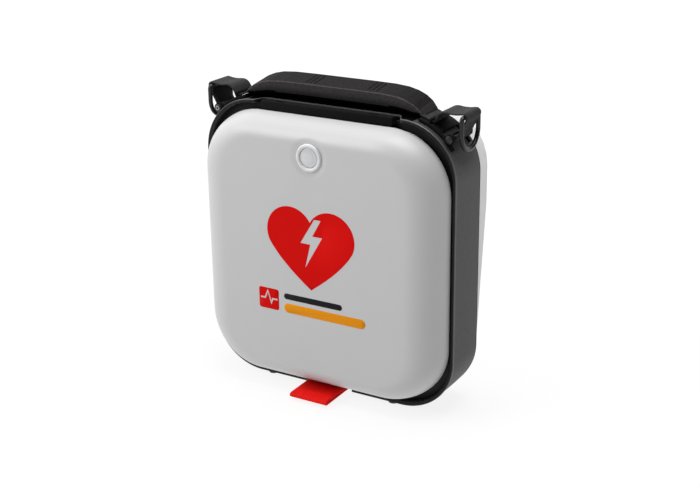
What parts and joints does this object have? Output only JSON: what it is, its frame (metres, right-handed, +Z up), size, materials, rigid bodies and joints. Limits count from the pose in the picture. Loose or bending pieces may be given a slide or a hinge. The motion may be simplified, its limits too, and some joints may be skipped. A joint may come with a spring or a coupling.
{
  "type": "portable defibrillator",
  "caption": "Upright portable defibrillator with a hinged pillow-shaped lid, soft side band, rear cover, padded carrying handle, webbing loops with D-rings and a red pull tab.",
  "frame": {"origin": "on the resting surface, at the middle of the overall width and overall depth", "axes": "+Z up, the lid faces -Y, +X to the right of someone facing the lid"},
  "size_m": [0.2338, 0.1, 0.254],
  "materials": {
    "band_rubber": "soft-touch matt",
    "black_plastic": "fine spark texture",
    "white_plastic": "satin gloss",
    "lid_plastic": "satin gloss",
    "seal_rubber": "matt",
    "steel": "turned",
    "circuit_board": "solder mask",
    "capacitor_sleeve": "shrink sleeve",
    "natural_plastic": "moulded",
    "copper": "enamelled",
    "dark_plastic": "moulded",
    "clear_plastic": "clear",
    "glass": "clear",
    "tin_can": "tinned",
    "lead_rubber": "satin",
    "pad_foam": "closed-cell foam",
    "film": "peel film",
    "red_plastic": "satin",
    "grey_plastic": "satin",
    "brass": "plated",
    "webbing": "woven nylon",
    "red_webbing": "woven nylon",
    "red_ink": "printed",
    "amber_ink": "printed",
    "grip_rubber": "soft-touch matt",
    "orange_plastic": "satin",
    "yellow_plastic": "satin",
    "blue_plastic": "satin"
  },
  "bodies": {
    "case": {"side_band": "band_rubber", "operator_deck": "black_plastic", "rear_cover": "white_plastic", "rear_seal": "seal_rubber", "lid_seal": "seal_rubber", "case_screws": "steel", "feet": "seal_rubber", "hinge_pin": "steel", "main_board": "circuit_board", "board_screws": "steel", "hv_capacitor": "capacitor_sleeve", "capacitor_clamp": "natural_plastic", "hv_transformer": "copper", "choke_coil": "copper", "relays": "dark_plastic", "speaker": "dark_plastic", "speaker_grille": "black_plastic", "readiness_led": "clear_plastic", "button_switches": "natural_plastic", "reed_switch": "glass", "wireless_module": "tin_can", "electrode_socket": "natural_plastic", "electrode_plug": "dark_plastic", "electrode_lead": "lead_rubber", "electrode_tray": "natural_plastic", "electrode_pads": "pad_foam", "tray_film": "film", "tray_pull": "red_plastic", "shock_bezel": "grey_plastic", "catch_plates": "steel", "battery_bay": "black_plastic", "battery_contacts": "brass", "data_port": "black_plastic", "shoulder_anchor_left": "black_plastic", "shoulder_anchor_right": "black_plastic", "anchor_pins": "steel", "strap_left": "webbing", "strap_right": "webbing", "handle_web_left": "webbing", "handle_web_right": "webbing"},
    "lid": {"lid_shell": "lid_plastic", "lid_liner": "black_plastic", "hinge_cover": "black_plastic", "indicator_ring": "grey_plastic", "indicator_lens": "clear_plastic", "light_pipe": "clear_plastic", "lid_magnets": "steel", "pull_tab": "red_webbing", "heart_emblem": "red_ink", "label_bars": "amber_ink"},
    "handle": {"handle_grip": "grip_rubber", "handle_core": "webbing"},
    "d_ring_left": {"d_ring_left": "dark_plastic"},
    "d_ring_right": {"d_ring_right": "dark_plastic"},
    "shock_button": {"shock_button": "orange_plastic"},
    "child_button": {"child_button": "yellow_plastic"},
    "language_button": {"language_button": "blue_plastic"},
    "battery_pack": {"battery_pack": "white_plastic"},
    "battery_latch": {"battery_latch": "dark_plastic"},
    "port_plug": {"port_plug": "seal_rubber"}
  },
  "joints": [
    {"name": "lid_hinge", "type": "hinge", "parent": "case", "child": "lid", "pos_m": [0, -0.0115, 0.2335], "axis": [-1, 0, 0], "range_deg": [0, 110]},
    {"name": "handle_lift", "type": "slide", "parent": "case", "child": "handle", "axis": [0, 0, 1], "range_m": [0, 0.018], "deforming": ["handle_web_left", "handle_web_right"]},
    {"name": "d_ring_left_swing", "type": "hinge", "parent": "case", "child": "d_ring_left", "pos_m": [-0.1132, 0.006, 0.2415], "axis": [0, 1, 0], "range_deg": [-5, 100]},
    {"name": "d_ring_right_swing", "type": "hinge", "parent": "case", "child": "d_ring_right", "pos_m": [0.1132, 0.006, 0.2415], "axis": [0, -1, 0], "range_deg": [-5, 100]},
    {"name": "shock_press", "type": "slide", "parent": "case", "child": "shock_button", "axis": [0, 1, 0], "range_m": [0, 0.002], "stiffness_N_per_m": 900},
    {"name": "child_press", "type": "slide", "parent": "case", "child": "child_button", "axis": [0, 1, 0], "range_m": [0, 0.0015], "stiffness_N_per_m": 600},
    {"name": "language_press", "type": "slide", "parent": "case", "child": "language_button", "axis": [0, 1, 0], "range_m": [0, 0.0015], "stiffness_N_per_m": 600},
    {"name": "battery_slide", "type": "slide", "parent": "case", "child": "battery_pack", "axis": [0, 1, 0], "range_m": [0, 0.045]},
    {"name": "latch_press", "type": "slide", "parent": "battery_pack", "child": "battery_latch", "axis": [0, 0, -1], "range_m": [0, 0.003], "stiffness_N_per_m": 500, "springref_m": -0.002},
    {"name": "port_plug_pull", "type": "slide", "parent": "case", "child": "port_plug", "axis": [-1, 0, 0], "range_m": [0, 0.012]}
  ]
}
